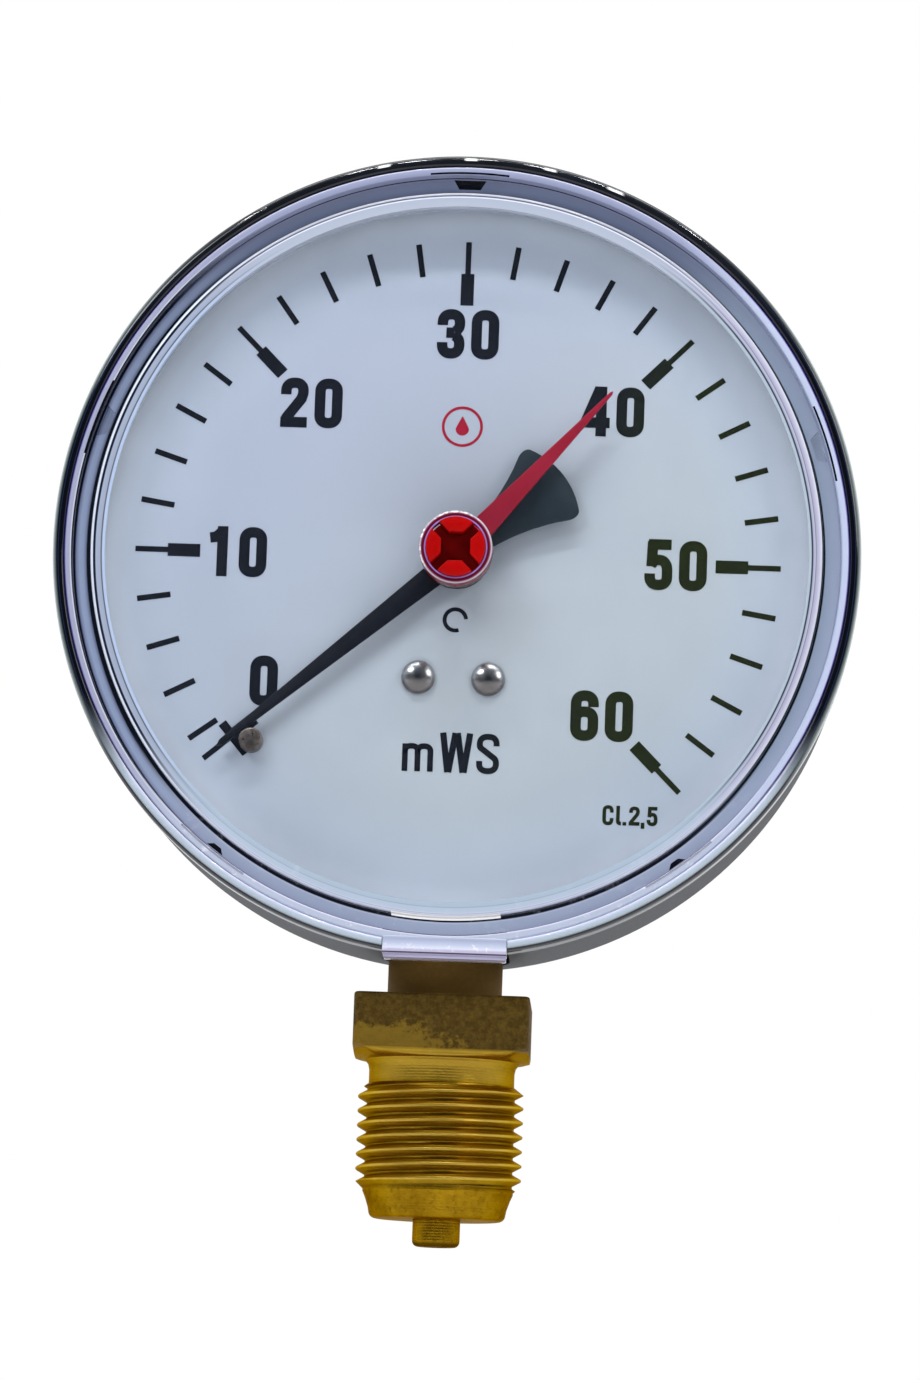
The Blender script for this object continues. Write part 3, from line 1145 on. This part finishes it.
def make_socket():
    socket = bmesh.new()
    foot = bmesh.new()
    turned_upright(foot, [(0, 2.5), (1.5, 2.5), (1.5, -3.4), (3.0, -3.4), (3.0, 0), (8.5, 0),
                          (8.75, 1.4), (9.15, 2.6), (9.5, 3.4), (9.5, 4.1), (0, 4.1)])
    soften(foot, 0.75, 5, level_at(3.0, -3.4))
    soften(foot, 0.7, 5, level_at(8.5, 0))
    soften(foot, 0.2, 2, level_at(1.5, -3.4))
    add_shape(socket, foot)
    add_shape(socket, make_thread())
    relief = bmesh.new()
    turned_upright(relief, [(0, 16.5), (9.2, 16.5), (9.2, 18.6), (9.35, 19.3), (9.7, 19.75),
                            (10.0, 20.1), (0, 20.1)])
    add_shape(socket, relief)

    square = bmesh.new()
    block(square, (-SQUARE_HALF, -SQUARE_HALF, SQUARE_BOTTOM),
          (SQUARE_HALF, SQUARE_HALF, SQUARE_TOP))
    soften(square, 1.0, 5, lambda edge: abs(edge.verts[0].co.z - edge.verts[1].co.z) > 5)
    soften(square, 0.35, 3, lambda edge: all(v.co.z > SQUARE_TOP - 0.01 for v in edge.verts))
    cone = bmesh.new()
    turned_upright(cone, [(0, SQUARE_BOTTOM), (10.6, SQUARE_BOTTOM), (15.8, SQUARE_BOTTOM + 1.5),
                          (15.8, SQUARE_TOP + 1), (0, SQUARE_TOP + 1)], steps=FINE)
    square = carved(square, cone, "INTERSECT")
    add_shape(socket, square)

    neck = bmesh.new()
    turned_upright(neck, [(0, 27.5), (NECK_RADIUS + 0.5, 27.5), (NECK_RADIUS + 0.3, 27.85),
                          (NECK_RADIUS, 28.2), (NECK_RADIUS, BLOCK_BOTTOM + 0.1),
                          (0, BLOCK_BOTTOM + 0.1)])
    add_shape(socket, neck)

    inner = from_frame("socket")
    bmesh.ops.bisect_plane(inner, geom=inner.verts[:] + inner.edges[:] + inner.faces[:],
                           plane_co=(0, 0, BLOCK_BOTTOM - 0.05), plane_no=(0, 0, -1),
                           clear_outer=True)
    bmesh.ops.holes_fill(inner, edges=inner.edges, sides=0)
    add_shape(socket, inner)
    add_piece("brass_socket", socket, "case", socket_brass, ["socket"], smooth=32)


# ---- Tube and movement ----


def make_movement():
    tube = from_frame("bourdon_tube")
    tidy(tube)
    bmesh.ops.scale(tube, vec=(MM, MM, MM), verts=tube.verts)
    piece = loose(tube, "flat_tube")
    finished(piece, tube_bronze, 40)
    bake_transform(piece)
    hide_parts("bourdon_tube")

    finishes = {"movement_brass": movement_brass, "bright_steel": bright_steel,
                "tube_bronze": tube_bronze}
    slots = {entry["node"]: entry["material_slot"] for entry in frame["record"]["subparts"]}
    for name, node in frame["nodes"].items():
        if not node.hide_render:
            node.data.materials.clear()
            node.data.materials.append(finishes[slots[name]])


# ---- Pointer, set hand and knob ----


def blade(reach, root_width, tip_width):
    """The outline of a tapered hand that points to the right."""
    return [(0.0, DIAL_Z - root_width / 2), (reach - tip_width, DIAL_Z - tip_width / 2),
            (reach, DIAL_Z), (reach - tip_width, DIAL_Z + tip_width / 2),
            (0.0, DIAL_Z + root_width / 2)]


def make_pointer():
    needle = bmesh.new()
    plate(needle, blade(38.5, 3.15, 0.8), POINTER_FRONT, POINTER_BACK)
    soften(needle, 0.08, 2)
    hub = bmesh.new()
    turned(hub, [(1.9, HUB_FRONT), (4.1, HUB_FRONT), (4.1, HUB_BACK), (1.9, HUB_BACK),
                 (1.9, HUB_FRONT)], steps=MEDIUM)
    soften(hub, 0.2, 3)
    add_shape(needle, hub)
    turn_to(needle, needle.verts[:], ZERO_ANGLE)
    add_piece("black_pointer", needle, "pointer", pointer_black, ["pointer"])

    fan = bmesh.new()
    flank = [(3.6, 1.75), (5.0, 1.95), (6.5, 2.25), (8.0, 2.65), (9.5, 3.12), (11.0, 3.7),
             (12.4, 4.33), (13.7, 5.02), (15.0, 5.8)]
    end = [(6.61 + 10.29 * math.cos(math.radians(a)), 10.29 * math.sin(math.radians(a)))
           for a in range(29, -30, -2)]
    outline = [(-x, DIAL_Z + side) for x, side in flank + end]
    outline += [(-x, DIAL_Z - side) for x, side in reversed(flank)]
    plate(fan, outline, POINTER_FRONT, POINTER_BACK)
    tips = [edge for edge in fan.edges
            if all(abs(v.co.x + 15.0) < 0.01 for v in edge.verts)
            and abs(edge.verts[0].co.y - edge.verts[1].co.y) > 0.1]
    bmesh.ops.bevel(fan, geom=tips, offset=1.5, offset_type="OFFSET", segments=6, profile=0.5,
                    affect="EDGES", material=-1, clamp_overlap=False)
    turn_to(fan, fan.verts[:], ZERO_ANGLE)
    soften(fan, 0.08, 2)
    add_piece("pointer_tail", fan, "pointer", tail_slate)


def make_set_hand():
    hand = bmesh.new()
    plate(hand, blade(28.6, 3.5, 0.4), SET_FRONT, SET_BACK)
    soften(hand, 0.08, 2)
    hub = bmesh.new()
    turned(hub, [(1.45, SET_HUB_FRONT), (4.2, SET_HUB_FRONT), (4.2, SET_BACK), (1.45, SET_BACK),
                 (1.45, SET_HUB_FRONT)], steps=MEDIUM)
    soften(hub, 0.15, 3)
    add_shape(hand, hub)
    turn_to(hand, hand.verts[:], SET_ANGLE)
    add_piece("red_hand", hand, "set_hand", hand_red, ["set_hand"])

    knob = bmesh.new()
    turned(knob, [(0, KNOB_FRONT), (KNOB_RADIUS, KNOB_FRONT), (KNOB_RADIUS, KNOB_BACK),
                  (1.3, KNOB_BACK), (1.3, SET_BACK), (0, SET_BACK)], steps=MEDIUM)
    for angle in (45, -45):
        cross = bmesh.new()
        made = block(cross, (-6, KNOB_FRONT - 1, DIAL_Z - 0.67), (6, KNOB_SLOT_BACK, DIAL_Z + 0.67))
        turn_to(cross, made, angle)
        knob = carved(knob, cross)
    pocket = bmesh.new()
    block(pocket, (-1.83, KNOB_FRONT - 1, DIAL_Z - 1.83), (1.83, KNOB_SLOT_BACK, DIAL_Z + 1.83))
    knob = carved(knob, pocket)
    tidy(knob)
    soften(knob, 0.28, 2, lambda edge: all(v.co.y < KNOB_FRONT + 0.01 for v in edge.verts))
    add_piece("red_knob", knob, "set_hand", knob_red, ["set_knob"])


make_case()
make_window()
make_dial()
make_socket()
make_pointer()
make_set_hand()
make_movement()

# ---- Floor, light and camera ----


def make_floor():
    bm = bmesh.new()
    bmesh.ops.create_grid(bm, x_segments=4, y_segments=4, size=3.0)
    bmesh.ops.translate(bm, vec=(0, 0, -0.12), verts=bm.verts)
    floor = loose(bm, "floor")
    floor.data.materials.append(mottled_finish("pale floor", (0.60, 0.60, 0.61),
                                               (0.60, 0.60, 0.61), 0.8, bump_mm=0.0))


def make_world():
    world = bpy.data.worlds.new("studio")
    bpy.context.scene.world = world
    world.use_nodes = True
    tree = world.node_tree
    behind = put(tree, "ShaderNodeSeparateXYZ",
                 {0: put(tree, "ShaderNodeTexCoord").outputs["Generated"]})
    room = blend_colours(tree, ramped(tree, behind.outputs["Y"], -0.75, 0.0),
                         (0.045, 0.055, 0.075, 1), (0.95, 0.97, 1.0, 1))
    seen = blend_colours(tree, put(tree, "ShaderNodeLightPath").outputs["Is Camera Ray"], room,
                         (1.0, 1.0, 1.0, 1))
    background = tree.nodes["Background"]
    tree.links.new(seen, background.inputs["Color"])
    background.inputs["Strength"].default_value = 1.0


def add_lamp(name, place, size, power, colour):
    lamp = bpy.data.lights.new(name, "AREA")
    lamp.shape = "RECTANGLE"
    lamp.size, lamp.size_y = size
    lamp.energy = power
    lamp.color = colour
    holder = bpy.data.objects.new(name, lamp)
    bpy.context.scene.collection.objects.link(holder)
    holder.location = place
    aim = Vector((0, 0, DIAL_Z * MM)) - Vector(place)
    holder.rotation_euler = aim.to_track_quat("-Z", "Y").to_euler()


def make_camera():
    turn, lift, lean, distance = math.radians(1.8), math.radians(-8.86), math.radians(2.1), 0.752
    target = Vector((0, DIAL_FRONT * MM, DIAL_Z * MM))
    back = Vector((math.sin(turn) * math.cos(lift), -math.cos(turn) * math.cos(lift),
                   math.sin(lift)))
    right = (-back).cross(Vector((0, 0, 1))).normalized()
    up = right.cross(-back)
    leaning_right = right * math.cos(lean) + up * math.sin(lean)
    leaning_up = up * math.cos(lean) - right * math.sin(lean)
    camera = bpy.data.objects.new("camera", bpy.data.cameras.new("camera"))
    bpy.context.scene.collection.objects.link(camera)
    turned_axes = Matrix((leaning_right, leaning_up, back)).transposed()
    camera.matrix_world = Matrix.Translation(target + back * distance) @ turned_axes.to_4x4()
    camera.data.lens = 155.6
    camera.data.sensor_width = 36.0
    camera.data.shift_x = 0.0017
    camera.data.shift_y = -0.0947
    camera.data.clip_start = 0.01
    bpy.context.scene.camera = camera


make_floor()
make_world()
add_lamp("key", (-0.70, -0.95, 0.80), (0.5, 0.35), 4.8, (0.92, 0.96, 1.0))
add_lamp("fill", (0.85, -0.85, 0.55), (0.5, 0.5), 3.4, (1.0, 0.98, 0.94))
add_lamp("top", (0.0, 0.1, 0.9), (0.9, 0.12), 2.5, (1.0, 1.0, 1.0))
for count, across in enumerate((-0.44, -0.21, -0.116, -0.01, 0.09, 0.183, 0.40)):
    add_lamp(f"spark_{count}", (across, -0.42, 0.85), (0.045, 0.035), 0.8, (1.0, 1.0, 1.0))
make_camera()
bpy.context.scene.view_settings.view_transform = "Standard"
